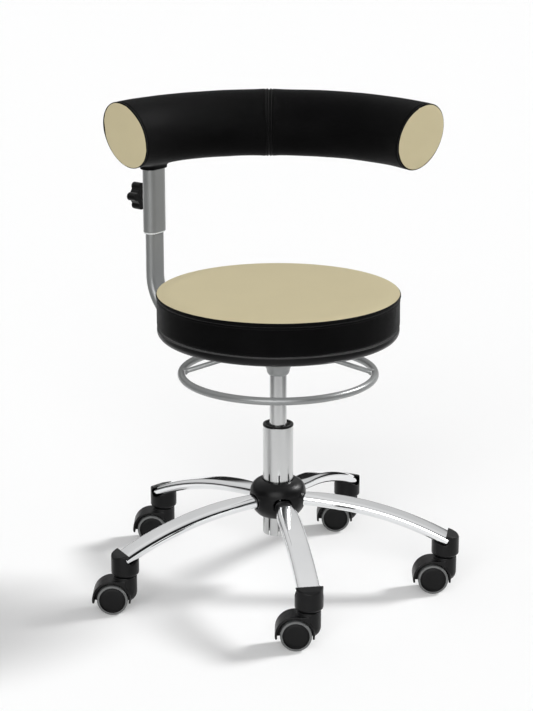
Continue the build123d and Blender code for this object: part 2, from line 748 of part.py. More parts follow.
with BuildPart() as roll_core:
    with BuildSketch(roll_plane(ROLL_MIDDLE - CORE_HALF_ANGLE)):
        with Locations((ROLL_ARC_R, ROLL_Z)):
            Circle(CORE_R)
    revolve(axis=ROLL_AXIS, revolution_arc=2 * CORE_HALF_ANGLE)
    with BuildSketch(post_plane(COLLAR_BOTTOM_Z)):
        flat_oval(SLEEVE_WIDE + 2 * COLLAR_WALL, SLEEVE_DEEP + 2 * COLLAR_WALL)
    extrude(amount=COLLAR_TOP_Z - COLLAR_BOTTOM_Z)
    with BuildSketch(post_plane(COLLAR_BOTTOM_Z)):
        flat_oval(SLEEVE_WIDE, SLEEVE_DEEP)
    extrude(amount=SLEEVE_TOP_Z - COLLAR_BOTTOM_Z, mode=Mode.SUBTRACT)
save(roll_core.part, "roll_core")

with BuildPart() as back_roll:
    with BuildSketch(roll_plane(ROLL_MIDDLE - ROLL_HALF_ANGLE)):
        with Locations((ROLL_ARC_R, ROLL_Z)):
            Ellipse(ROLL_LONG_R, ROLL_SHORT_R, rotation=90 - ROLL_LEAN)
    revolve(axis=ROLL_AXIS, revolution_arc=2 * ROLL_HALF_ANGLE)
    with BuildSketch(roll_plane(ROLL_MIDDLE - CORE_HALF_ANGLE)):
        with Locations((ROLL_ARC_R, ROLL_Z)):
            Circle(CORE_R)
    revolve(axis=ROLL_AXIS, revolution_arc=2 * CORE_HALF_ANGLE, mode=Mode.SUBTRACT)
    with BuildSketch(post_plane(COLLAR_BOTTOM_Z - 10)):
        flat_oval(SLEEVE_WIDE + 2 * COLLAR_WALL, SLEEVE_DEEP + 2 * COLLAR_WALL)
    extrude(amount=COLLAR_TOP_Z - COLLAR_BOTTOM_Z + 10, mode=Mode.SUBTRACT)
save(back_roll.part, "back_roll")

with BuildPart() as roll_end_panels:
    for angle in (ROLL_MIDDLE - ROLL_HALF_ANGLE - PANEL_ANGLE, ROLL_MIDDLE + ROLL_HALF_ANGLE):
        with BuildSketch(roll_plane(angle)):
            with Locations((ROLL_ARC_R, ROLL_Z)):
                Ellipse(PANEL_SCALE * ROLL_LONG_R, PANEL_SCALE * ROLL_SHORT_R, rotation=90 - ROLL_LEAN)
        revolve(axis=ROLL_AXIS, revolution_arc=PANEL_ANGLE)
save(roll_end_panels.part, "roll_end_panels")
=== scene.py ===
import json
from math import asin, atan2, cos, exp, pi, radians, sin, sqrt, tau

import bmesh
import bpy
from mathutils import Matrix, Vector, noise


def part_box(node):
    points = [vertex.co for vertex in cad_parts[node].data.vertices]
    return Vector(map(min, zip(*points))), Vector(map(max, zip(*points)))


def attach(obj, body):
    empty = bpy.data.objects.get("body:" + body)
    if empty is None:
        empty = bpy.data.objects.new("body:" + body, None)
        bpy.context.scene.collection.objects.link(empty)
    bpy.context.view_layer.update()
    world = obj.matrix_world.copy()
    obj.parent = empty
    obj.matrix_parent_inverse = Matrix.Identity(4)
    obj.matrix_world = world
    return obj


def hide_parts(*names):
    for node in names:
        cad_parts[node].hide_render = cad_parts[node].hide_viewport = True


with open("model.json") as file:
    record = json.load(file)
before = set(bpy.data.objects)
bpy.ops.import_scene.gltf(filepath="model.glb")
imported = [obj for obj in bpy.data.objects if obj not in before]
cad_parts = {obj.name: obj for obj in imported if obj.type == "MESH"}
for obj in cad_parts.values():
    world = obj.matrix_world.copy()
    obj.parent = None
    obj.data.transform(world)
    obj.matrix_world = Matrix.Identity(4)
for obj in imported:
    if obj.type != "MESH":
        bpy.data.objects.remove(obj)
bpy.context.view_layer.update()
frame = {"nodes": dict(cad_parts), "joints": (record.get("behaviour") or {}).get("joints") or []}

# A dentist's stool: round seat and curved back roll in black and beige leatherette, grey
# back post, chrome column and star base on twin-wheel casters. Metres, in the CAD's frame.

JOINTS = {joint["name"]: joint for joint in frame["joints"]}
ARM_COUNT = 5
SIDES = ("front", "back")
UP = Vector((0, 0, 1))


def joint_point(name):
    return Vector(JOINTS[name]["pos_m"])


# ------------------------------ materials


class Surface:
    """A material's node tree, with short calls for the nodes that every surface here uses."""

    def __init__(self, name, **sockets):
        self.material = bpy.data.materials.new(name)
        self.material.use_nodes = True
        self.nodes = self.material.node_tree.nodes
        self.links = self.material.node_tree.links
        self.shader = self.nodes["Principled BSDF"]
        for socket, value in sockets.items():
            self.shader.inputs[socket.replace("_", " ")].default_value = value
        self.place = self.nodes.new("ShaderNodeTexCoord").outputs["Object"]
        self.relief = None

    def stretched(self, x, y, z):
        """The place in the object, scaled along its axes."""
        mapping = self.nodes.new("ShaderNodeMapping")
        mapping.inputs["Scale"].default_value = (x, y, z)
        self.links.new(self.place, mapping.inputs["Vector"])
        return mapping.outputs["Vector"]

    def noise(self, scale, detail=3.0, place=None):
        """Noise from 0 to 1 with scale cells to the metre."""
        node = self.nodes.new("ShaderNodeTexNoise")
        node.inputs["Scale"].default_value = scale
        node.inputs["Detail"].default_value = detail
        self.links.new(place or self.place, node.inputs["Vector"])
        return node.outputs["Fac"]

    def cells(self, scale):
        """Distance to the nearest crease between cells, for grained leather."""
        node = self.nodes.new("ShaderNodeTexVoronoi")
        node.feature = "DISTANCE_TO_EDGE"
        node.inputs["Scale"].default_value = scale
        self.links.new(self.place, node.inputs["Vector"])
        return node.outputs["Distance"]

    def span(self, value, low, high, start=0.3, end=0.7):
        """value from start to end, mapped to low to high."""
        node = self.nodes.new("ShaderNodeMapRange")
        node.inputs["From Min"].default_value = start
        node.inputs["From Max"].default_value = end
        node.inputs["To Min"].default_value = low
        node.inputs["To Max"].default_value = high
        self.links.new(value, node.inputs["Value"])
        return node.outputs["Result"]

    def math(self, operation, first, second):
        node = self.nodes.new("ShaderNodeMath")
        node.operation = operation
        for socket, value in zip(node.inputs, (first, second)):
            if isinstance(value, (int, float)):
                socket.default_value = value
            else:
                self.links.new(value, socket)
        return node.outputs["Value"]

    def colours(self, value, first, second, start=0.3, end=0.7):
        """Colour from first to second as value goes from start to end."""
        ramp = self.nodes.new("ShaderNodeValToRGB")
        ramp.color_ramp.elements[0].position = start
        ramp.color_ramp.elements[0].color = (*first, 1)
        ramp.color_ramp.elements[1].position = end
        ramp.color_ramp.elements[1].color = (*second, 1)
        self.links.new(value, ramp.inputs["Fac"])
        self.links.new(ramp.outputs["Color"], self.shader.inputs["Base Color"])

    def roughness(self, value, low, high, start=0.3, end=0.7):
        self.links.new(self.span(value, low, high, start, end), self.shader.inputs["Roughness"])

    def bump(self, height, distance, strength=1.0):
        """Adds a relief of that depth on top of the ones added before."""
        node = self.nodes.new("ShaderNodeBump")
        node.inputs["Distance"].default_value = distance
        node.inputs["Strength"].default_value = strength
        self.links.new(height, node.inputs["Height"])
        if self.relief is not None:
            self.links.new(self.relief, node.inputs["Normal"])
        self.relief = node.outputs["Normal"]
        self.links.new(self.relief, self.shader.inputs["Normal"])


def chrome():
    surface = Surface("chrome", Metallic=1.0)
    surface.colours(surface.noise(9), (0.80, 0.81, 0.82), (0.88, 0.885, 0.89))
    surface.roughness(surface.noise(60), 0.035, 0.085)
    surface.bump(surface.noise(22, 1.0), 0.0003, 0.35)
    return surface.material


def satin_chrome():
    """Turned and satin-plated steel, with fine rings round the column."""
    surface = Surface("satin_chrome", Metallic=1.0)
    surface.colours(surface.noise(12), (0.56, 0.565, 0.565), (0.60, 0.605, 0.605))
    rings = surface.noise(1.0, 2.0, surface.stretched(2, 2, 2600))
    surface.roughness(rings, 0.20, 0.24)
    surface.bump(rings, 0.000004)
    return surface.material


def bare_steel():
    surface = Surface("bare_steel", Metallic=1.0)
    surface.colours(surface.noise(40), (0.42, 0.425, 0.43), (0.55, 0.555, 0.56))
    surface.roughness(surface.noise(300), 0.28, 0.42)
    surface.bump(surface.noise(900), 0.00002)
    return surface.material


def grey_coat():
    """Satin grey powder coat, with its faint orange peel and a few rubbed patches."""
    surface = Surface("grey_coat", Metallic=0.5, Specular_IOR_Level=0.5)
    surface.colours(surface.noise(14, 4.0), (0.255, 0.262, 0.262), (0.290, 0.297, 0.295))
    surface.roughness(surface.noise(45), 0.30, 0.38)
    surface.bump(surface.noise(650, 2.0), 0.00006)
    surface.bump(surface.noise(2600, 1.0), 0.000015)
    return surface.material


def moulded_plastic(name, dark, light, rough, gloss, grain=1700):
    """Plastic from a spark-eroded mould: fine even grain, dull with soft patches."""
    surface = Surface(name, Specular_IOR_Level=gloss)
    surface.colours(surface.noise(25, 4.0), dark, light)
    surface.roughness(surface.noise(70), rough - 0.05, rough + 0.06)
    surface.bump(surface.noise(grain, 2.0), 0.00005)
    surface.bump(surface.cells(grain * 0.6), 0.00003)
    return surface.material


def tyre_rubber():
    """Dark grey tread, scuffed paler where it rolls."""
    surface = Surface("tyre_rubber", Specular_IOR_Level=0.4)
    surface.colours(surface.noise(160, 5.0), (0.088, 0.090, 0.090), (0.125, 0.128, 0.127))
    surface.roughness(surface.noise(90), 0.5, 0.66)
    surface.bump(surface.noise(900, 4.0), 0.00007)
    return surface.material


def leatherette(name, dark, light, rough, gloss):
    """Grained upholstery: small cells with creases, pores, and soft tone changes."""
    surface = Surface(name, Specular_IOR_Level=gloss)
    drift = surface.noise(16, 5.0)
    surface.colours(drift, dark, light)
    creases = surface.cells(720)
    pores = surface.noise(2300, 3.0)
    wear = surface.math("ADD", drift, surface.math("MULTIPLY", pores, 0.4))
    surface.roughness(wear, rough - 0.05, rough + 0.08, 0.4, 1.0)
    surface.bump(surface.noise(75, 3.0), 0.0005, 0.25)
    surface.bump(surface.span(creases, 0.0, 1.0, 0.0, 0.14), 0.00016)
    surface.bump(pores, 0.00005)
    return surface.material


def thread(name, dark, light):
    """Twisted sewing thread."""
    surface = Surface(name, Specular_IOR_Level=0.12)
    twist = surface.noise(1.0, 1.0, surface.stretched(2500, 2500, 2500))
    surface.colours(twist, dark, light)
    surface.roughness(twist, 0.45, 0.6)
    surface.bump(twist, 0.00006)
    return surface.material


def glide_plastic():
    surface = Surface("glide_plastic", Specular_IOR_Level=0.5, Subsurface_Weight=0.05)
    surface.colours(surface.noise(40, 3.0), (0.72, 0.73, 0.73), (0.80, 0.81, 0.81))
    surface.roughness(surface.noise(120), 0.3, 0.4)
    surface.bump(surface.noise(1500), 0.00002)
    return surface.material


CHROME = chrome()
SATIN_CHROME = satin_chrome()
STEEL = bare_steel()
GREY = grey_coat()
BLACK_PLASTIC = moulded_plastic(
    "black_plastic",
    (0.0026, 0.0026, 0.0028),
    (0.0046, 0.0046, 0.0049),
    rough=0.34,
    gloss=0.18,
)
NYLON = moulded_plastic(
    "caster_nylon",
    (0.0026, 0.0026, 0.0028),
    (0.0045, 0.0045, 0.0048),
    rough=0.38,
    gloss=0.20,
    grain=1300,
)
WHEEL_PLASTIC = moulded_plastic(
    "wheel_plastic",
    (0.0022, 0.0022, 0.0024),
    (0.0038, 0.0038, 0.0040),
    rough=0.34,
    gloss=0.16,
)
TYRE = tyre_rubber()
BLACK_LEATHER = leatherette(
    "black_leather",
    (0.0016, 0.0016, 0.0017),
    (0.0030, 0.0030, 0.0032),
    rough=0.42,
    gloss=0.035,
)
TAN_LEATHER = leatherette(
    "tan_leather",
    (0.555, 0.488, 0.308),
    (0.580, 0.511, 0.326),
    rough=0.55,
    gloss=0.25,
)
BLACK_THREAD = thread("black_thread", (0.0016, 0.0016, 0.0018), (0.0042, 0.0042, 0.0045))
WHITE_BUSH = glide_plastic()

# ------------------------------ mesh helpers


def linked(name, data):
    """A new object in the scene."""
    piece = bpy.data.objects.new(name, data)
    bpy.context.scene.collection.objects.link(piece)
    return piece


def join_mesh(piece, other):
    """Adds the other piece's mesh to a piece, and removes the other."""
    net = bmesh.new()
    net.from_mesh(piece.data)
    net.from_mesh(other.data)
    net.to_mesh(piece.data)
    net.free()
    bpy.data.objects.remove(other)


def new_piece(name, verts, faces):
    """A smooth-shaded object from points and faces, with its normals facing out."""
    mesh = bpy.data.meshes.new(name)
    mesh.from_pydata([tuple(point) for point in verts], [], faces)
    net = bmesh.new()
    net.from_mesh(mesh)
    bmesh.ops.remove_doubles(net, verts=net.verts, dist=0.00001)
    bmesh.ops.recalc_face_normals(net, faces=net.faces)
    net.to_mesh(mesh)
    net.free()
    mesh.shade_smooth()
    return linked(name, mesh)


def ring_faces(ring_count, size, cyclic=False, first=0):
    """Quads between neighbouring rings of size points each; the rings are closed."""
    faces = []
    for ring in range(ring_count if cyclic else ring_count - 1):
        after = (ring + 1) % ring_count
        for k in range(size):
            turn = (k + 1) % size
            here = first + ring * size
            there = first + after * size
            faces.append((here + k, here + turn, there + turn, there + k))
    return faces


def skin(name, rings, cyclic=False, capped=False):
    """Surface through rings of equally many points."""
    size = len(rings[0])
    faces = ring_faces(len(rings), size, cyclic)
    if capped:
        for end in (0, (len(rings) - 1) * size):
            faces.append(tuple(range(end, end + size)))
    return new_piece(name, [point for ring in rings for point in ring], faces)


def rounded(corners, closed=False, steps=6):
    """Outline through (r, z, corner radius) points, each corner rounded by a curve."""
    outline = []
    count = len(corners)
    for index, (r, z, radius) in enumerate(corners):
        corner = Vector((r, z))
        ends = index in (0, count - 1) and not closed
        if radius == 0 or ends:
            outline.append(corner)
            continue
        before = Vector(corners[index - 1][:2]) - corner
        after = Vector(corners[(index + 1) % count][:2]) - corner
        back = min(radius, 0.49 * before.length, 0.49 * after.length)
        start = corner + before.normalized() * back
        end = corner + after.normalized() * back
        for step in range(steps + 1):
            t = step / steps
            outline.append(start * (1 - t) ** 2 + corner * 2 * t * (1 - t) + end * t**2)
    return outline


def revolve(name, outline, segments=128, closed=False, place=None):
    """Turns an outline of (r, z) round the Z axis, then moves it to place."""
    place = place or Matrix()
    turns = [tau * k / segments for k in range(segments)]
    rings = []
    for r, z in outline:
        rings.append([place @ Vector((r * cos(turn), r * sin(turn), z)) for turn in turns])
    return skin(name, rings, cyclic=closed)


def baked(piece):
    """Replaces a piece's mesh by what its modifiers make of it."""
    depsgraph = bpy.context.evaluated_depsgraph_get()
    mesh = bpy.data.meshes.new_from_object(piece.evaluated_get(depsgraph))
    mesh.name = piece.name
    piece.modifiers.clear()
    piece.data = mesh
    mesh.shade_smooth()
    return piece


def moulded(name, node, voxel, smoothing):
    """A copy of a CAD node as one skin whose edges are rounded, as moulded or coated parts are."""
    piece = linked(name, frame["nodes"][node].data.copy())
    piece.data.materials.clear()
    remesh = piece.modifiers.new("skin", "REMESH")
    remesh.mode = "VOXEL"
    remesh.voxel_size = voxel
    smooth = piece.modifiers.new("round", "SMOOTH")
    smooth.factor = 0.5
    smooth.iterations = smoothing
    return baked(piece)


def finish_piece(piece, material, body, slot, *nodes, crisp=True):
    """Gives a piece its material and its CAD body, and hides the nodes that it stands for."""
    piece.data.materials.clear()
    piece.data.materials.append(material)
    if crisp:
        piece.modifiers.new("flat faces stay flat", "WEIGHTED_NORMAL").keep_sharp = True
    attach(piece, body)
    if nodes:
        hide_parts(*nodes)
    return piece


def paint_node(node, material, edge=0.0):
    """A CAD node stays: it gets its material and a small bevel on its edges."""
    piece = frame["nodes"][node]
    if not piece.material_slots:
        piece.data.materials.append(material)
    for place in piece.material_slots:
        place.material = material
    if edge:
        weld = piece.modifiers.new("weld", "WELD")
        weld.merge_threshold = 0.00001
        bevel = piece.modifiers.new("edge", "BEVEL")
        bevel.width = edge
        bevel.segments = 2
        bevel.limit_method = "ANGLE"
        bevel.angle_limit = radians(40)
        bevel.harden_normals = False


# ------------------------------ base

ARM_TOP = 0.1485
ARM_LEVEL_R = 0.041
ARM_BEND_R = 0.535
ARM_START_R = 0.029
ARM_END_R = 0.289
CORNER_STEPS = 9


def smooth_step(value, start, end):
    t = min(1.0, max(0.0, (value - start) / (end - start)))
    return t * t * (3 - 2 * t)


def mix(first, second, share):
    return first + (second - first) * share


def rounded_rectangle(width, height, corner, crown=0.0):
    """Closed outline of (across, up) with flat sides in several spans, crowned a little on top."""
    points = []
    for quarter, (side_x, side_y) in enumerate(((1, 1), (-1, 1), (-1, -1), (1, -1))):
        centre = Vector((side_x * (width / 2 - corner), side_y * (height / 2 - corner)))
        for step in range(CORNER_STEPS + 1):
            turn = pi / 2 * (quarter + step / CORNER_STEPS)
            points.append(centre + corner * Vector((cos(turn), sin(turn))))
        along = Vector(((-1, 0), (0, -1), (1, 0), (0, 1))[quarter])
        flat = (width if quarter % 2 == 0 else height) - 2 * corner
        last = points[-1]
        points += [last + along * flat * k / 6 for k in range(1, 6)]
    for point in points:
        point.y += crown * max(0.0, 1 - (2 * point.x / width) ** 2) * (1 if point.y > 0 else -1)
    return points


def arm(index):
    """A chromed oval tube, narrow at the hub, flat and wide from there on, bent down."""
    stem = joint_point("caster_%d_swivel" % index)
    angle = atan2(stem.y, stem.x)
    across = Vector((-sin(angle), cos(angle), 0))
    rings = []
    spans = 56
    for k in range(spans + 1):
        radius = mix(ARM_START_R, ARM_END_R, k / spans)
        rise = max(0.0, radius - ARM_LEVEL_R) / ARM_BEND_R
        drop = ARM_BEND_R * (1 - sqrt(1 - rise * rise))
        up = Vector((rise * cos(angle), rise * sin(angle), sqrt(1 - rise * rise)))
        centre = Vector((radius * cos(angle), radius * sin(angle), ARM_TOP - drop))
        spread = smooth_step(radius, 0.030, 0.105)
        width = mix(0.026, 0.0375, spread)
        height = mix(0.020, 0.017, spread)
        corner = mix(0.0095, 0.0076, spread)
        outline = rounded_rectangle(width, height, corner, 0.0005)
        rings.append([centre + across * point.x + up * point.y for point in outline])
    piece = skin("arm_%d_tube" % index, rings, capped=True)
    finish_piece(piece, CHROME, "base", "chrome", "arm_%d" % index)


for index in range(1, ARM_COUNT + 1):
    arm(index)

arm_caps = moulded("arm_cap_set", "arm_end_caps", voxel=0.0009, smoothing=12)
finish_piece(arm_caps, BLACK_PLASTIC, "base", "black_plastic", "arm_end_caps")
hub_dome = moulded("hub_dome", "hub_cover", voxel=0.001, smoothing=6)
finish_piece(hub_dome, BLACK_PLASTIC, "base", "black_plastic", "hub_cover")

COLUMN_LOW, COLUMN_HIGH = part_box("stand_tube")
COLUMN_R = COLUMN_HIGH.x
COLUMN_WALL = 0.0015
SLOT_COUNT = 9
SLOT_TOP = 0.195
SLOT_HALF_WIDTH = 0.0012
SLOT_HALF = asin(SLOT_HALF_WIDTH / COLUMN_R)
SLOT_START = radians(-85.4)
FLOOR_PLATE = (0.096, 0.101)
ROD_HOLE_R = 0.00505


def slotted_tube():
    """The column's outer tube: slots part its lower end into fingers; a plate closes it inside."""
    turns = []
    open_spans = []
    between = 10
    for slot in range(SLOT_COUNT):
        middle = SLOT_START + slot * tau / SLOT_COUNT
        open_spans.append(len(turns))
        turns.append(middle - SLOT_HALF)
        rest = tau / SLOT_COUNT - 2 * SLOT_HALF
        turns += [middle + SLOT_HALF + rest * k / between for k in range(between)]
    heights = [COLUMN_LOW.z, COLUMN_LOW.z + 0.02, 0.15, 0.19, SLOT_TOP, 0.215, 0.245, COLUMN_HIGH.z]
    rings = [[Vector((COLUMN_R * cos(turn), COLUMN_R * sin(turn), z)) for turn in turns] for z in heights]
    size = len(turns)
    slotted = heights.index(SLOT_TOP)
    faces = ring_faces(len(rings), size)
    kept = [face for face in faces if not (face[0] // size < slotted and face[0] % size in open_spans)]
    piece = new_piece("column_tube", [point for ring in rings for point in ring], kept)
    wall = piece.modifiers.new("wall", "SOLIDIFY")
    wall.thickness = COLUMN_WALL
    wall.offset = -1
    edge = piece.modifiers.new("edge", "BEVEL")
    edge.width = 0.0003
    edge.segments = 2
    edge.limit_method = "ANGLE"
    edge.angle_limit = radians(50)
    baked(piece)
    inner = COLUMN_R - COLUMN_WALL
    low, high = FLOOR_PLATE
    plate_outline = [(ROD_HOLE_R, low), (inner, low), (inner, high), (ROD_HOLE_R, high)]
    join_mesh(piece, revolve("plate", plate_outline, closed=True))
    piece.data.set_sharp_from_angle(angle=radians(35))
    finish_piece(piece, SATIN_CHROME, "base", "column_steel", "stand_tube")


slotted_tube()

BUSH_LOW, BUSH_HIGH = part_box("guide_bush")
BUSH_BORE_R = 0.01405
BUSH_RECESS_R = 0.0212
BUSH_RECESS_DEPTH = 0.0024
BUSH_RIBS = 16
RECESS_Z = BUSH_HIGH.z - BUSH_RECESS_DEPTH
bush_outline = rounded(
    [
        (BUSH_BORE_R, BUSH_LOW.z, 0.0005),
        (COLUMN_R - COLUMN_WALL, BUSH_LOW.z, 0.0005),
        (COLUMN_R - COLUMN_WALL, COLUMN_HIGH.z, 0),
        (BUSH_HIGH.x, COLUMN_HIGH.z, 0.0005),
        (BUSH_HIGH.x, BUSH_HIGH.z, 0.0022),
        (BUSH_RECESS_R, BUSH_HIGH.z, 0.0005),
        (BUSH_RECESS_R, RECESS_Z, 0.0004),
        (BUSH_BORE_R + 0.0016, RECESS_Z, 0.0004),
        (BUSH_BORE_R + 0.0013, BUSH_HIGH.z - 0.0004, 0.0003),
        (BUSH_BORE_R, BUSH_HIGH.z - 0.0004, 0.0003),
    ],
    closed=True,
)


def column_bush():
    """The black collar: its top is a trough crossed by thin ribs."""
    bush = revolve("column_bush", bush_outline, closed=True)
    net = bmesh.new()
    net.from_mesh(bush.data)
    inner = BUSH_BORE_R + 0.0012
    for rib in range(BUSH_RIBS):
        place = Matrix.Rotation(tau * (rib + 0.5) / BUSH_RIBS, 4, "Z")
        place = place @ Matrix.Translation(((inner + BUSH_RECESS_R) / 2, 0, BUSH_HIGH.z - 0.0014))
        size = Matrix.Diagonal((BUSH_RECESS_R - inner + 0.0006, 0.0011, 0.0016, 1))
        bmesh.ops.create_cube(net, size=1.0, matrix=place @ size)
    net.to_mesh(bush.data)
    net.free()
    bush.data.set_sharp_from_angle(angle=radians(40))
    finish_piece(bush, BLACK_PLASTIC, "base", "black_plastic", "guide_bush")


column_bush()

paint_node("hub_core", BLACK_PLASTIC)
for node in ("thrust_bearing", "caster_stems"):
    paint_node(node, STEEL)

# ------------------------------ gas lift

for node in ("piston_rod", "rod_piston", "rod_clip", "release_pin"):
    paint_node(node, STEEL)

GAS_LOW, GAS_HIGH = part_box("gas_cylinder")
TAPER_BOTTOM = 0.363
TAPER_TOP_R = 0.013
PIN_BORE_R = 0.00305
gas_outline = rounded(
    [
        (ROD_HOLE_R, GAS_LOW.z, 0),
        (GAS_HIGH.x, GAS_LOW.z, 0.002),
        (GAS_HIGH.x, TAPER_BOTTOM, 0.001),
        (TAPER_TOP_R, GAS_HIGH.z, 0.001),
        (PIN_BORE_R, GAS_HIGH.z, 0),
        (PIN_BORE_R, GAS_HIGH.z - 0.02, 0),
        (ROD_HOLE_R, GAS_HIGH.z - 0.026, 0),
    ],
    closed=True,
)
gas_spring = revolve("gas_spring", gas_outline, closed=True)
finish_piece(gas_spring, SATIN_CHROME, "seat", "column_steel", "gas_cylinder")

# ------------------------------ casters

STEM_1 = joint_point("caster_1_swivel")
AXLE_1 = joint_point("caster_1_front_spin")
WHEEL_R = AXLE_1.z
RIM_R = WHEEL_R - 0.0035
WHEEL_IN = 0.0052
WHEEL_OUT = WHEEL_IN + 0.017
AXLE_BORE_R = 0.00305
AXLE_BORE_END = 0.0187


def tyre_outline():
    """The tyre's section as (r, distance from the caster's middle), softly rounded."""
    corners = [
        (RIM_R, WHEEL_IN + 0.0005, 0.0005),
        (WHEEL_R, WHEEL_IN + 0.0005, 0.004),
        (WHEEL_R, WHEEL_OUT, 0.0045),
        (RIM_R - 0.0002, WHEEL_OUT, 0.0006),
    ]
    return rounded(corners, closed=True)


def wheel_outline():
    """The wheel's section: a rim, a groove beside it, and a slightly domed dish outside."""
    corners = [
        (AXLE_BORE_R, WHEEL_IN, 0.0003),
        (RIM_R, WHEEL_IN, 0.0005),
        (RIM_R - 0.0001, WHEEL_OUT - 0.0006, 0.0004),
        (RIM_R - 0.0012, WHEEL_OUT - 0.0006, 0.0004),
        (RIM_R - 0.0018, WHEEL_OUT - 0.0022, 0.0006),
        (0.0160, WHEEL_OUT - 0.0014, 0.004),
        (0.0080, WHEEL_OUT - 0.0009, 0.004),
        (0.0, WHEEL_OUT - 0.0008, 0),
        (0.0, AXLE_BORE_END, 0),
        (AXLE_BORE_R, AXLE_BORE_END, 0),
    ]
    return rounded(corners)


def wheel_meshes():
    """The wheel's and the tyre's mesh for each side, round the axle at the origin."""
    meshes = {}
    for side in SIDES:
        turn = Matrix.Rotation(pi / 2 if side == "front" else -pi / 2, 4, "X")
        outline = wheel_outline() + [Vector((AXLE_BORE_R, WHEEL_IN))]
        wheel = revolve("wheel_" + side, outline, 96, place=turn)
        tyre = revolve("tyre_" + side, tyre_outline(), 96, closed=True, place=turn)
        meshes[side] = (wheel.data, tyre.data)
        for template in (wheel, tyre):
            bpy.data.objects.remove(template)
    return meshes


def caster(index, hood_mesh, wheels):
    name = "caster_%d" % index
    stem = joint_point(name + "_swivel")
    hood = linked(name + "_shell", hood_mesh)
    hood.location = stem - STEM_1
    finish_piece(hood, NYLON, name, "caster_plastic", name + "_hood")
    paint_node(name + "_axle", STEEL)
    kinds = (("wheel", WHEEL_PLASTIC, "wheel_plastic"), ("tyre", TYRE, "tyre_grey"))
    for side in SIDES:
        for mesh, (part, material, slot) in zip(wheels[side], kinds):
            node = "%s_%s_%s" % (name, part, side)
            piece = linked(node + "_turned", mesh)
            piece.location = joint_point("%s_%s_spin" % (name, side))
            finish_piece(piece, material, "%s_%s" % (name, side), slot, node)


hood_template = moulded("hood_template", "caster_1_hood", voxel=0.0008, smoothing=6)
HOOD_MESH = hood_template.data
bpy.data.objects.remove(hood_template)
WHEELS = wheel_meshes()
for index in range(1, ARM_COUNT + 1):
    caster(index, HOOD_MESH, WHEELS)

# ------------------------------ under the seat

seat_bracket = moulded("seat_bracket", "seat_plate", voxel=0.0011, smoothing=3)
finish_piece(seat_bracket, GREY, "seat", "grey_paint", "seat_plate")
paint_node("swing_retainer", GREY, 0.0005)
paint_node("seat_screws", STEEL, 0.0003)

PAN_LOW, PAN_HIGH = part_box("seat_pan")
PAN_ROUNDING = 0.014
PAN_EDGE = 0.004
pan_curve = []
for step in range(13):
    turn = pi / 2 * step / 12
    radius = PAN_HIGH.x - PAN_ROUNDING * (1 - sin(turn))
    height = PAN_LOW.z + (PAN_HIGH.z - PAN_EDGE - PAN_LOW.z) * (1 - cos(turn))
    pan_curve.append(Vector((radius, height)))
pan_outline = [Vector((0.0, PAN_LOW.z)), Vector((0.12, PAN_LOW.z))] + pan_curve
pan_rim = [(PAN_HIGH.x, PAN_HIGH.z - PAN_EDGE, 0), (PAN_HIGH.x, PAN_HIGH.z, 0.001), (0.0, PAN_HIGH.z, 0)]
pan_outline += rounded(pan_rim)
seat_shell = revolve("seat_shell", pan_outline, 192)
finish_piece(seat_shell, BLACK_PLASTIC, "seat", "black_plastic", "seat_pan")

RING_LOW, RING_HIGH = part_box("release_ring")
RING_TUBE_R = 0.00625
RING_R = RING_HIGH.x - RING_TUBE_R
RING_Z = RING_LOW.z + RING_TUBE_R
BAR_R = 0.004
BAR_Z = RING_HIGH.z - BAR_R
BAR_LEVEL = 0.036
BAR_BEND_R = 0.014
ALONG_Y = Vector((0, 1, 0))


def upward_along(points):
    """The direction square to a path in the XZ plane, at each of its points."""
    upward = []
    for k in range(len(points)):
        ahead = points[min(k + 1, len(points) - 1)] - points[max(k - 1, 0)]
        upward.append(ahead.normalized().cross(ALONG_Y))
    return upward


def release_ring():
    """The grey ring with its bar across, which swells into welds where it meets the ring."""
    turns = [tau * k / 24 for k in range(24)]
    tube = [(RING_R + RING_TUBE_R * cos(turn), RING_Z + RING_TUBE_R * sin(turn)) for turn in turns]
    ring = revolve("ring", tube, 240, closed=True)
    corners = [
        (-RING_R, RING_Z, 0),
        (-BAR_LEVEL, BAR_Z, BAR_BEND_R),
        (BAR_LEVEL, BAR_Z, BAR_BEND_R),
        (RING_R, RING_Z, 0),
    ]
    line = rounded(corners, steps=10)
    points = []
    for start, end in zip(line, line[1:]):
        pieces = max(1, int((end - start).length / 0.0025))
        points += [start + (end - start) * k / pieces for k in range(pieces)]
    points.append(line[-1])
    path = [Vector((x, 0, z)) for x, z in points]
    turns = [tau * k / 20 for k in range(20)]
    rings = []
    for point, up in zip(path, upward_along(path)):
        from_tube = RING_R - abs(point.x) - RING_TUBE_R
        radius = BAR_R + 0.0016
        if from_tube > 0:
            radius = BAR_R + 0.0024 * exp(-((from_tube / 0.0022) ** 2))
        rings.append([point + radius * (ALONG_Y * cos(turn) + up * sin(turn)) for turn in turns])
    join_mesh(ring, skin("bar", rings, capped=True))
    ring.name = "release_hoop"
    finish_piece(ring, GREY, "release_ring", "grey_paint", "release_ring", crisp=False)


release_ring()

# ------------------------------ back post

post_tube = moulded("post_tube", "back_tube", voxel=0.0011, smoothing=4)
finish_piece(post_tube, GREY, "back_arm", "grey_paint", "back_tube")
post_sleeve = moulded("post_sleeve", "back_sleeve", voxel=0.0009, smoothing=3)
finish_piece(post_sleeve, GREY, "backrest", "grey_paint", "back_sleeve")
knob_body = moulded("knob_body", "clamp_knob", voxel=0.0006, smoothing=9)
finish_piece(knob_body, BLACK_PLASTIC, "knob", "black_plastic", "clamp_knob")
paint_node("sleeve_bush", WHITE_BUSH)
paint_node("roll_core", BLACK_PLASTIC)

# ------------------------------ upholstery helpers


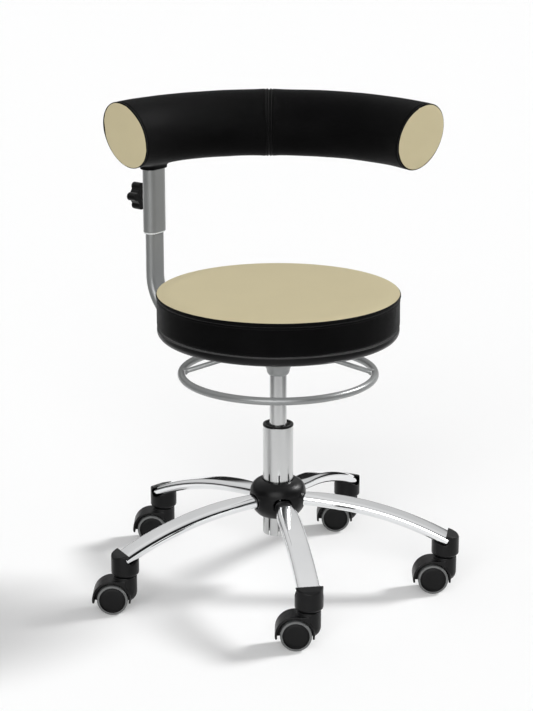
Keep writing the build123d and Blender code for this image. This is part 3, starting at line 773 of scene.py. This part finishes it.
def disc_points(steps, radius_x, radius_y):
    """A square grid of points spread evenly over an oval, row by row."""
    points = []
    for row in range(steps + 1):
        for column in range(steps + 1):
            u = 2 * column / steps - 1
            v = 2 * row / steps - 1
            if abs(u) > abs(v):
                reach, turn = u, pi / 4 * v / u
            elif v != 0:
                reach, turn = v, pi / 2 - pi / 4 * u / v
            else:
                reach, turn = 0.0, 0.0
            points.append(Vector((radius_x * reach * cos(turn), radius_y * reach * sin(turn))))
    return points


def disc_faces(steps, first=0):
    size = steps + 1
    faces = []
    for row in range(steps):
        for column in range(steps):
            corner = first + row * size + column
            faces.append((corner, corner + 1, corner + size + 1, corner + size))
    return faces


def disc_rim(steps):
    """Indices of the grid's outer points, in order round the disc from -45 degrees."""
    size = steps + 1
    right = [row * size + steps for row in range(steps)]
    top = [steps * size + column for column in range(steps, 0, -1)]
    left = [row * size for row in range(steps, 0, -1)]
    bottom = [column for column in range(steps)]
    return right + top + left + bottom


def puff_up(piece, held, pressure, limit, tension=15.0):
    """Blows a cover up like cloth over foam. The held points stay, and no point moves beyond limit."""
    scene = bpy.context.scene
    rest = [vertex.co.copy() for vertex in piece.data.vertices]
    group = piece.vertex_groups.new(name="held")
    group.add(held, 1.0, "REPLACE")
    cloth = piece.modifiers.new("cloth", "CLOTH")
    cloth.settings.use_pressure = True
    cloth.settings.uniform_pressure_force = pressure
    cloth.settings.effector_weights.gravity = 0
    cloth.settings.vertex_group_mass = "held"
    cloth.settings.tension_stiffness = tension
    cloth.settings.compression_stiffness = tension
    cloth.settings.bending_stiffness = 0.5
    cloth.settings.quality = 6
    cloth.collision_settings.use_collision = False
    cloth.point_cache.frame_start = 1
    cloth.point_cache.frame_end = 20
    for step in range(1, 21):
        scene.frame_set(step)
    depsgraph = bpy.context.evaluated_depsgraph_get()
    blown = piece.evaluated_get(depsgraph).data
    for vertex, start, end in zip(piece.data.vertices, rest, [point.co.copy() for point in blown.vertices]):
        move = end - start
        if move.length > limit:
            move *= limit / move.length
        vertex.co = start + move
    piece.modifiers.remove(cloth)
    piece.vertex_groups.remove(group)
    scene.frame_set(1)


def subdivide(piece):
    piece.modifiers.new("finer", "SUBSURF").levels = 1
    baked(piece)


def ruffle(piece, height, size, seed=0.0):
    """Small uneven swells in a cover, along its normals."""
    moved = []
    for vertex in piece.data.vertices:
        swell = noise.noise(vertex.co / size + Vector((seed, 0, 0)))
        moved.append(vertex.co + vertex.normal * height * swell)
    for vertex, point in zip(piece.data.vertices, moved):
        vertex.co = point


def split_faces(piece, name, first_count):
    """Moves the first faces of a piece into a new one, and returns it."""
    other = linked(name, piece.data.copy())
    for target, wanted in ((piece, False), (other, True)):
        net = bmesh.new()
        net.from_mesh(target.data)
        net.faces.ensure_lookup_table()
        unwanted = [face for face in net.faces if (face.index < first_count) != wanted]
        bmesh.ops.delete(net, geom=unwanted, context="FACES")
        net.to_mesh(target.data)
        net.free()
    return other


def stitch_row(name, places, cover, length, radius):
    """Stitches lying on a cover: (point, direction) for each, sunk in at both ends."""
    verts = []
    faces = []
    sides = 6
    shape = ((-0.5, 0.3, -0.7), (-0.3, 1.0, 0.1), (0.0, 1.1, 0.35), (0.3, 1.0, 0.1), (0.5, 0.3, -0.7))
    for point, ahead in places:
        _, spot, out, _ = cover.closest_point_on_mesh(point)
        side = out.cross(ahead).normalized()
        first = len(verts)
        for along, thick, lift in shape:
            middle = spot + ahead * length * along + out * radius * lift
            for k in range(sides):
                turn = tau * k / sides
                verts.append(middle + radius * thick * (side * cos(turn) + out * sin(turn)))
        faces += ring_faces(len(shape), sides, first=first)
        for end in (first, len(verts) - sides):
            faces.append(tuple(range(end, end + sides)))
    mesh = bpy.data.meshes.new(name)
    mesh.from_pydata([tuple(vertex) for vertex in verts], [], faces)
    mesh.shade_smooth()
    return linked(name, mesh)


# ------------------------------ seat cushion

SEAT_LOW, SEAT_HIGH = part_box("seat_cushion")
SEAT_R = SEAT_HIGH.x
SEAT_TOP = SEAT_HIGH.z
SEAT_BOTTOM = SEAT_LOW.z
SEAT_STEPS = 44
TAN_R = SEAT_R - 0.0018
SEAM_DROP = 0.0078               # from the seat's top to the seam under its edge band


def seat_rings():
    """The cushion's side as (r, z) rings from the beige panel down, and which of them are sewn."""
    edge_band = [
        (SEAT_R - 0.0008, SEAT_TOP - 0.0009),
        (SEAT_R, SEAT_TOP - 0.0024),
        (SEAT_R + 0.0002, SEAT_TOP - 0.0042),
        (SEAT_R - 0.0002, SEAT_TOP - 0.0060),
        (SEAT_R - 0.0011, SEAT_TOP - 0.0071),
    ]
    seam = [(SEAT_R - 0.0028, SEAT_TOP - SEAM_DROP)]
    seam_foot = [
        (SEAT_R - 0.0015, SEAT_TOP - SEAM_DROP - 0.0008),
        (SEAT_R - 0.0010, SEAT_TOP - SEAM_DROP - 0.0025),
    ]
    top = SEAT_TOP - SEAM_DROP - 0.0055
    bottom = SEAT_BOTTOM + 0.0065
    side = [(SEAT_R - 0.0012, mix(top, bottom, k / 9)) for k in range(10)]
    foot = [
        (SEAT_R - 0.0022, SEAT_BOTTOM + 0.0035),
        (SEAT_R - 0.0045, SEAT_BOTTOM + 0.0012),
        (SEAT_R - 0.0075, SEAT_BOTTOM + 0.0002),
    ]
    rings = edge_band + seam + seam_foot + side + foot
    sewn = [len(edge_band), len(rings) - 2, len(rings) - 1]
    return rings, sewn


def seat_cushion():
    top = disc_points(SEAT_STEPS, TAN_R, TAN_R)
    verts = [Vector((point.x, point.y, SEAT_TOP - 0.0006)) for point in top]
    rim = disc_rim(SEAT_STEPS)
    faces = disc_faces(SEAT_STEPS)
    panel_faces = len(faces)
    rings, sewn = seat_rings()
    loops = [rim]
    for r, z in rings:
        loops.append(list(range(len(verts), len(verts) + len(rim))))
        for k in range(len(rim)):
            turn = -pi / 4 + tau * k / len(rim)
            verts.append(Vector((r * cos(turn), r * sin(turn), z)))
    first = len(verts)
    floor = disc_points(SEAT_STEPS, SEAT_R - 0.012, SEAT_R - 0.012)
    verts += [Vector((point.x, point.y, SEAT_BOTTOM + 0.0001)) for point in floor]
    loops.append([first + k for k in rim])
    for upper, lower in zip(loops, loops[1:]):
        for k in range(len(rim)):
            after = (k + 1) % len(rim)
            faces.append((upper[k], upper[after], lower[after], lower[k]))
    faces += disc_faces(SEAT_STEPS, first)
    cover = new_piece("seat_cover", verts, faces)
    held = list(rim) + list(range(first, len(verts)))
    for ring in sewn:
        held += loops[ring + 1]
    puff_up(cover, held, pressure=3.0, limit=0.0016)
    panel = split_faces(cover, "seat_top_panel", panel_faces)
    for piece in (panel, cover):
        subdivide(piece)
    return cover, panel


def pucker(piece, seam_z, depth, seed):
    """Short soft pulls in the cover beside the seam, as tight upholstery has."""
    for vertex in piece.data.vertices:
        away = abs(vertex.co.z - seam_z)
        turn = atan2(vertex.co.y, vertex.co.x)
        pull = noise.noise(Vector((cos(turn) * 16, sin(turn) * 16, seed)))
        pull += 0.5 * noise.noise(Vector((cos(turn) * 45, sin(turn) * 45, seed + 7)))
        fade = exp(-away / 0.010) * smooth_step(away, 0.0005, 0.003)
        vertex.co -= vertex.normal * depth * fade * (0.5 + 0.5 * pull)


seat_cover, seat_panel = seat_cushion()
SEAM_Z = SEAT_TOP - SEAM_DROP
pucker(seat_cover, SEAM_Z, 0.0008, 3.0)
ruffle(seat_cover, 0.0003, 0.035)
finish_piece(seat_cover, BLACK_LEATHER, "seat", "black_leather", "seat_cushion", crisp=False)
finish_piece(seat_panel, TAN_LEATHER, "seat", "tan_leather", "seat_cushion", crisp=False)

STITCH_PITCH = 0.0044
STITCH_LENGTH = 0.0031
STITCH_R = 0.00032


def seat_stitches():
    """One row of stitches round the cushion, just under the seam of its edge band."""
    count = int(tau * SEAT_R / STITCH_PITCH)
    places = []
    for k in range(count):
        turn = tau * k / count
        point = Vector((SEAT_R * cos(turn), SEAT_R * sin(turn), SEAM_Z - 0.0030))
        places.append((point, Vector((-sin(turn), cos(turn), 0))))
    return stitch_row("seat_stitching", places, seat_cover, STITCH_LENGTH, STITCH_R)


finish_piece(seat_stitches(), BLACK_THREAD, "seat", "black_leather", crisp=False)

# ------------------------------ back roll

ROLL_LOW, ROLL_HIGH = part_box("back_roll")
ARC_CENTRE = Vector((-0.0135, -0.050))
ARC_R = 0.290
ROLL_Z = (ROLL_LOW.z + ROLL_HIGH.z) / 2
HALF_ANGLE = radians(57.2)
ROLL_TURN = radians(-1.2)        # the roll's middle, from +Y towards -X
LONG_R = 0.059
SHORT_R = 0.0415
LEAN = radians(29.6)
SHOULDER = 0.0012                # rounding between the roll's side and its end
END_SEAM = 0.0058                # from the roll's end to the seam beside it
ROLL_SIDES = 72
END_STEPS = 22
SEAM_PLACE = 0.0100              # of the middle seam along the roll, towards -X
TWIN_SEAM = 0.0050               # from the middle seam to the rows beside it


def roll_frame(angle):
    """Centre, outward and upward directions of the section at an angle from +Y towards -X."""
    out = Vector((-sin(ROLL_TURN + angle), cos(ROLL_TURN + angle), 0))
    centre = Vector((ARC_CENTRE.x, ARC_CENTRE.y, ROLL_Z)) + out * ARC_R
    return centre, out


def section_axes(out):
    """The long and the short direction of the roll's leaning oval section."""
    return out * sin(LEAN) + UP * cos(LEAN), out * cos(LEAN) - UP * sin(LEAN)


def section_point(angle, turn, inset=0.0):
    """A point of the roll's section. turn 0 is the oval's top."""
    centre, out = roll_frame(angle)
    long_axis, short_axis = section_axes(out)
    return centre + long_axis * (LONG_R - inset) * cos(turn) + short_axis * (SHORT_R - inset) * sin(turn)


def roll_inset(along):
    """How far the cover is drawn in at a distance along the roll from its middle."""
    from_seam = along - SEAM_PLACE
    inset = 0.0010
    inset += 0.0026 * exp(-((from_seam / 0.0011) ** 2))
    for side in (-1, 1):
        inset += 0.0016 * exp(-(((from_seam - side * TWIN_SEAM) / 0.0010) ** 2))
    inset -= 0.0010 * exp(-((from_seam / 0.011) ** 2))
    end = ARC_R * HALF_ANGLE - abs(along)
    inset += 0.0014 * exp(-(((end - END_SEAM) / 0.0011) ** 2))
    if end < SHOULDER:
        inset += SHOULDER * (1 - sqrt(max(0.0, 1 - (1 - end / SHOULDER) ** 2)))
    return inset


def roll_stations():
    """Distances along the roll for its rings: close at seams and ends, wider between."""
    half = ARC_R * HALF_ANGLE
    seam = [0.0, 0.0008, 0.0018, 0.0032, 0.0041, TWIN_SEAM, 0.0058, 0.0070, 0.0105]
    seam = [-step for step in reversed(seam[1:])] + seam
    stations = [SEAM_PLACE + step for step in seam]
    near_end = [half - END_SEAM + step for step in (-0.0045, -0.0020, -0.0009, 0.0, 0.0009, 0.0020)]
    near_end += [half - SHOULDER * share for share in (0.95, 0.70, 0.45, 0.25, 0.10, 0.03, 0.0)]
    spans = 52
    right = [mix(stations[-1], near_end[0], k / spans) for k in range(1, spans)]
    left = [mix(-near_end[0], stations[0], k / spans) for k in range(1, spans)]
    return [-step for step in reversed(near_end)] + left + stations + right + near_end


def roll_cover():
    stations = roll_stations()
    rings = []
    for along in stations:
        angle = along / ARC_R
        inset = roll_inset(along)
        rings.append([section_point(angle, tau * k / ROLL_SIDES, inset) for k in range(ROLL_SIDES)])
    half = ARC_R * HALF_ANGLE
    for end in (-1, 1):
        angle = end * HALF_ANGLE
        lip = [section_point(angle, tau * k / ROLL_SIDES, SHOULDER + 0.004) for k in range(ROLL_SIDES)]
        rings.insert(0 if end < 0 else len(rings), lip)
    cover = skin("roll_cover", rings)
    held = []
    for ring, along in enumerate([-half] + stations + [half]):
        from_seam = abs(along - SEAM_PLACE)
        sewn = min(from_seam, abs(from_seam - TWIN_SEAM), abs(half - END_SEAM - abs(along))) < 0.0002
        if sewn or half - abs(along) < 0.0005:
            held += range(ring * ROLL_SIDES, (ring + 1) * ROLL_SIDES)
    puff_up(cover, held, pressure=3.0, limit=0.0016)
    subdivide(cover)
    ruffle(cover, 0.0005, 0.045, 5.0)
    return cover


roll_skin = roll_cover()
finish_piece(roll_skin, BLACK_LEATHER, "backrest", "black_leather", "back_roll", crisp=False)


def end_panel(end):
    """The beige end of the roll: an oval panel, drawn tight and slightly domed."""
    centre, out = roll_frame(end * HALF_ANGLE)
    long_axis, short_axis = section_axes(out)
    away = Vector((-out.y, out.x, 0)) * end
    long_r = LONG_R - 0.0010 - SHOULDER * 0.55
    short_r = SHORT_R - 0.0010 - SHOULDER * 0.55
    verts = []
    for point in disc_points(END_STEPS, long_r, short_r):
        verts.append(centre + long_axis * point.x + short_axis * point.y + away * 0.0002)
    faces = disc_faces(END_STEPS)
    rim = disc_rim(END_STEPS)
    first = len(verts)
    verts += [verts[k] - away * 0.0020 for k in rim]
    for k in range(len(rim)):
        after = (k + 1) % len(rim)
        faces.append((rim[k], rim[after], first + after, first + k))
    panel = new_piece("roll_end_%s" % ("left" if end > 0 else "right"), verts, faces)
    puff_up(panel, list(rim) + list(range(first, len(verts))), pressure=3.0, limit=0.0013)
    subdivide(panel)
    return panel


for end in (-1, 1):
    panel = end_panel(end)
    finish_piece(panel, TAN_LEATHER, "backrest", "tan_leather", "roll_end_panels", crisp=False)


def roll_stitches():
    """Two rows of stitches, one on each side of the seam in the roll's middle."""
    fine = 720
    places = []
    for side in (-1, 1):
        angle = (SEAM_PLACE + side * TWIN_SEAM) / ARC_R
        ring = [section_point(angle, tau * k / fine) for k in range(fine)]
        travelled = 0.0
        for here, after in zip(ring, ring[1:]):
            travelled += (after - here).length
            if travelled >= STITCH_PITCH:
                travelled -= STITCH_PITCH
                places.append((here, (after - here).normalized()))
    return stitch_row("roll_stitching", places, roll_skin, STITCH_LENGTH, STITCH_R)


finish_piece(roll_stitches(), BLACK_THREAD, "backrest", "black_leather", crisp=False)

CORE_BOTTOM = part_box("roll_core")[0].z
POST_OUT = Vector(JOINTS["knob_turn"]["axis"])
POST_ACROSS = Vector((-POST_OUT.y, POST_OUT.x, 0))
POST = joint_point("knob_turn")
COLLAR_WIDE = 0.0258
COLLAR_DEEP = 0.0166


def underside(radial):
    """Height of the roll's underside at a distance outwards from the middle of its section."""
    a = (cos(LEAN) / LONG_R) ** 2 + (sin(LEAN) / SHORT_R) ** 2
    b = 2 * sin(LEAN) * cos(LEAN) * (1 / LONG_R**2 - 1 / SHORT_R**2)
    c = (sin(LEAN) / LONG_R) ** 2 + (cos(LEAN) / SHORT_R) ** 2
    root = (b * radial) ** 2 - 4 * a * (c * radial**2 - 1)
    return ROLL_Z + (-b * radial - sqrt(max(0.0, root))) / (2 * a)


def collar_outline(count):
    """The flat oval round the sleeve, as points with their outward directions."""
    half_flat = COLLAR_WIDE - COLLAR_DEEP
    points = []
    for k in range(count):
        turn = tau * (k + 0.5) / count
        side = 1 if cos(turn) > 0 else -1
        out = POST_ACROSS * cos(turn) + POST_OUT * sin(turn)
        shift = POST_ACROSS * side * half_flat * min(1.0, abs(cos(turn)) * 2.5)
        points.append((shift + out * COLLAR_DEEP, out))
    return points


def roll_collar():
    """The cover's leatherette drawn down from the roll's underside on to the sleeve."""
    count = 64
    bottom = CORE_BOTTOM - 0.0008
    outline = collar_outline(count)
    rings = []
    post_angle = atan2(-(POST.x - ARC_CENTRE.x), POST.y - ARC_CENTRE.y)
    from_middle = post_angle - ROLL_TURN
    end_room = ARC_R * (HALF_ANGLE - from_middle) - COLLAR_WIDE - 0.010
    tangent = Vector((-cos(post_angle), -sin(post_angle), 0))
    inner = [(0.0030, 0.0012), (0.0008, 0.0), (0.0, 0.0012), (0.0, 0.0035)]
    foot = POST.xy.to_3d()
    for inset, lift in inner:
        level = foot + UP * (bottom + lift)
        rings.append([level + point - out * inset for point, out in outline])
    start = bottom + inner[-1][1]
    spans = 18
    for step in range(1, spans + 1):
        share = step / spans
        ring = []
        for point, out in outline:
            towards_end = out.dot(tangent)
            reach_along = end_room if towards_end > 0 else 0.046
            reach = mix(0.017, reach_along, abs(towards_end) ** 1.5)
            spot = foot + point + out * reach * share**2
            radial = (spot.xy - ARC_CENTRE).length - ARC_R
            top = underside(max(-0.044, min(0.044, radial))) + 0.0012
            spot.z = mix(start, max(top, start), 1 - (1 - share) ** 2.6)
            ring.append(spot)
        rings.append(ring)
    piece = skin("roll_collar", rings)
    subdivide(piece)
    ruffle(piece, 0.0004, 0.02, 9.0)
    return piece


collar = roll_collar()
finish_piece(collar, BLACK_LEATHER, "backrest", "black_leather", crisp=False)

# ------------------------------ studio

FOCAL_PIXELS = 2206.4
IMAGE_LONG_SIDE = 711
CAMERA_PLACE = (0.019, -3.4756, 1.3959)
CAMERA_PITCH = 0.2805
CAMERA_TURN = 0.011
FLOOR_SIZE = 60.0
FLOOR_GLOW = 0.14
SHEET_HALF = 0.95                # the glowing part of the floor: to each side
SHEET_FAR = 1.3
SHEET_FRONT = -0.85
FRONT_SHADE = 0.55
WORLD_DIFFUSE = 0.30
WORLD_STOPS = ((0.0, 0.02), (0.585, 0.02), (0.635, 0.62), (1.0, 0.82))
DARK_SIDE = 0.85                 # how far the dark rises on the camera's side


def studio_camera():
    camera = linked("camera", bpy.data.cameras.new("camera"))
    camera.data.sensor_fit = "VERTICAL"
    camera.data.sensor_height = 36.0
    camera.data.lens = 36.0 * FOCAL_PIXELS / IMAGE_LONG_SIDE
    camera.data.clip_end = 100.0
    camera.location = CAMERA_PLACE
    camera.rotation_euler = (pi / 2 - CAMERA_PITCH, 0, CAMERA_TURN)
    bpy.context.scene.camera = camera


def soft_sun(name, azimuth, elevation, softness, strength):
    """A wide sun: azimuth from +X towards +Y and height of the place it shines from, in degrees."""
    light = linked(name, bpy.data.lights.new(name, "SUN"))
    light.data.energy = strength
    light.data.angle = radians(softness)
    level = cos(radians(elevation))
    source = Vector((level * cos(radians(azimuth)), level * sin(radians(azimuth)), sin(radians(elevation))))
    light.rotation_euler = source.to_track_quat("Z", "Y").to_euler()


def studio_floor():
    """A pale sheet that glows as painted light and melts into the white beyond. Beside it and in front of
    it, the floor is painted darker as painted shade.
    """
    corners = [(x * FLOOR_SIZE, y * FLOOR_SIZE, 0) for x, y in ((-1, -1), (1, -1), (1, 1), (-1, 1))]
    floor = new_piece("studio_floor", corners, [(0, 1, 2, 3)])
    surface = Surface("studio_floor", Specular_IOR_Level=0.0)
    split = surface.nodes.new("ShaderNodeSeparateXYZ")
    surface.links.new(surface.place, split.inputs["Vector"])
    aside = surface.math("ABSOLUTE", split.outputs["X"], 0.0)
    beside = surface.span(aside, 0.0, 1.0, SHEET_HALF - 0.1, SHEET_HALF + 0.1)
    near = surface.span(split.outputs["Y"], 1.0, 0.0, SHEET_FAR - 0.2, SHEET_FAR + 0.2)
    front = surface.span(split.outputs["Y"], FRONT_SHADE, 0.0, SHEET_FRONT - 0.25, SHEET_FRONT + 0.05)
    # painted shade: 1 beside and in front of the sheet, where the floor is painted darker and has no glow;
    # 0 on the sheet, which glows as painted light
    painted_shade = surface.math("MAXIMUM", surface.math("MULTIPLY", beside, near), front)
    surface.colours(painted_shade, (0.80, 0.80, 0.80), (0.22, 0.22, 0.22), 0.0, 1.0)
    surface.roughness(surface.noise(3.0), 0.85, 0.9)
    glow = surface.span(painted_shade, FLOOR_GLOW, 0.0, 0.0, 1.0)
    surface.links.new(glow, surface.shader.inputs["Emission Strength"])
    surface.shader.inputs["Emission Color"].default_value = (1, 1, 1, 1)
    floor.data.materials.append(surface.material)


def studio_world():
    """White all round; mirrored, it darkens towards the horizon, as a room does round a lit set."""
    world = bpy.data.worlds.new("studio")
    bpy.context.scene.world = world
    world.use_nodes = True
    nodes = world.node_tree.nodes
    link = world.node_tree.links.new
    place = nodes.new("ShaderNodeTexCoord").outputs["Generated"]
    split = nodes.new("ShaderNodeSeparateXYZ")
    link(place, split.inputs["Vector"])
    behind = nodes.new("ShaderNodeMapRange")
    height = nodes.new("ShaderNodeMapRange")
    for node, ends in ((behind, (-1, 0, -DARK_SIDE, 0)), (height, (-1, 1, 0, 1))):
        for socket, value in zip(("From Min", "From Max", "To Min", "To Max"), ends):
            node.inputs[socket].default_value = value
    lowered = nodes.new("ShaderNodeMath")
    link(split.outputs["Y"], behind.inputs["Value"])
    link(split.outputs["Z"], lowered.inputs[0])
    link(behind.outputs["Result"], lowered.inputs[1])
    link(lowered.outputs["Value"], height.inputs["Value"])
    ramp = nodes.new("ShaderNodeValToRGB")
    elements = ramp.color_ramp.elements
    for stop, _ in WORLD_STOPS[1:-1]:
        elements.new(stop)
    for element, (stop, grey) in zip(elements, WORLD_STOPS):
        element.position = stop
        element.color = (grey, grey, grey, 1)
    link(height.outputs["Result"], ramp.inputs["Fac"])
    ray = nodes.new("ShaderNodeLightPath")

    def background(strength):
        node = nodes.new("ShaderNodeBackground")
        node.inputs["Color"].default_value = (1, 1, 1, 1)
        node.inputs["Strength"].default_value = strength
        return node

    def by_ray(kind, other, same):
        node = nodes.new("ShaderNodeMixShader")
        link(ray.outputs[kind], node.inputs["Fac"])
        link(other, node.inputs[1])
        link(same, node.inputs[2])
        return node.outputs["Shader"]

    mirrored = background(1.0)
    link(ramp.outputs["Color"], mirrored.inputs["Color"])
    diffuse = background(WORLD_DIFFUSE)
    unseen = by_ray("Is Glossy Ray", diffuse.outputs["Background"], mirrored.outputs["Background"])
    choice = by_ray("Is Camera Ray", unseen, background(1.0).outputs["Background"])
    link(choice, nodes["World Output"].inputs["Surface"])


studio_camera()
studio_floor()
studio_world()
soft_sun("key", azimuth=22, elevation=36, softness=14, strength=2.8)
soft_sun("fill", azimuth=-98, elevation=20, softness=50, strength=2.2)
bpy.context.scene.view_settings.view_transform = "Standard"

# What stands above the base isn't mirrored in its chrome, and the roll casts no shadow at all.
UNMIRRORED_NODES = ("seat_screws", "swing_retainer", "roll_core", "sleeve_bush")
UNMIRRORED_SEAT = ("seat_cover", "seat_top_panel", "seat_stitching", "seat_shell", "seat_bracket")
UNMIRRORED_REST = ("release_hoop", "post_tube", "post_sleeve", "knob_body", "column_bush")
for node in UNMIRRORED_NODES:
    frame["nodes"][node].visible_glossy = False
for name in UNMIRRORED_SEAT + UNMIRRORED_REST:
    bpy.data.objects[name].visible_glossy = False
ROLL_PIECES = ("roll_cover", "roll_end_left", "roll_end_right", "roll_collar", "roll_stitching")
for name in ROLL_PIECES:
    bpy.data.objects[name].visible_shadow = False
    bpy.data.objects[name].visible_glossy = False
frame["nodes"]["roll_core"].visible_shadow = False
